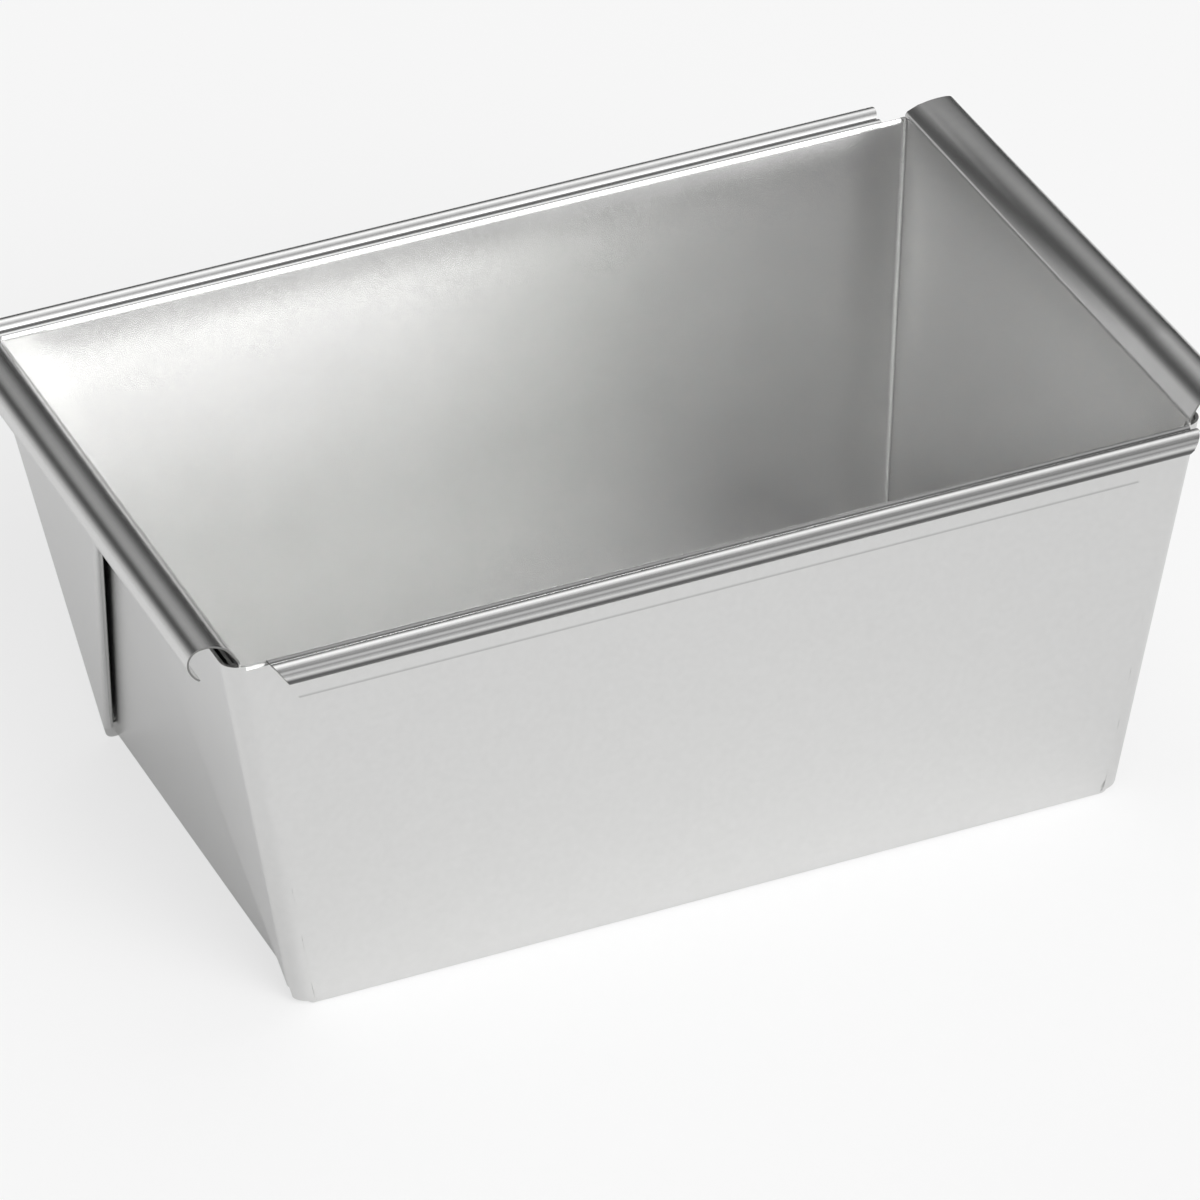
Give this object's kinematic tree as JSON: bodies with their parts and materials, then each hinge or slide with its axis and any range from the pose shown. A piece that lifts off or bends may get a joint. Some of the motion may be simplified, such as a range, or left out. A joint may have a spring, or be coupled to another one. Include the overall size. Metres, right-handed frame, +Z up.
{
  "type": "loaf tin",
  "caption": "Small open loaf tin of folded tinplate, with flared walls, pleated corners and rolled rims.",
  "frame": {"origin": "on the table under the middle of the tin", "axes": "+X along the length to the right end, +Y to the back, +Z up; the front long wall faces -Y"},
  "size_m": [0.1666, 0.1148, 0.073],
  "materials": {
    "tinplate": "satin tin coat, finely mottled"
  },
  "bodies": {
    "root": {"base_panel": "tinplate", "back_wall": "tinplate", "front_wall": "tinplate", "right_end_wall": "tinplate", "left_end_wall": "tinplate", "back_right_gusset": "tinplate", "back_left_gusset": "tinplate", "front_right_gusset": "tinplate", "front_left_gusset": "tinplate", "back_rim": "tinplate", "front_rim": "tinplate", "right_end_roll": "tinplate", "left_end_roll": "tinplate"}
  },
  "joints": []
}
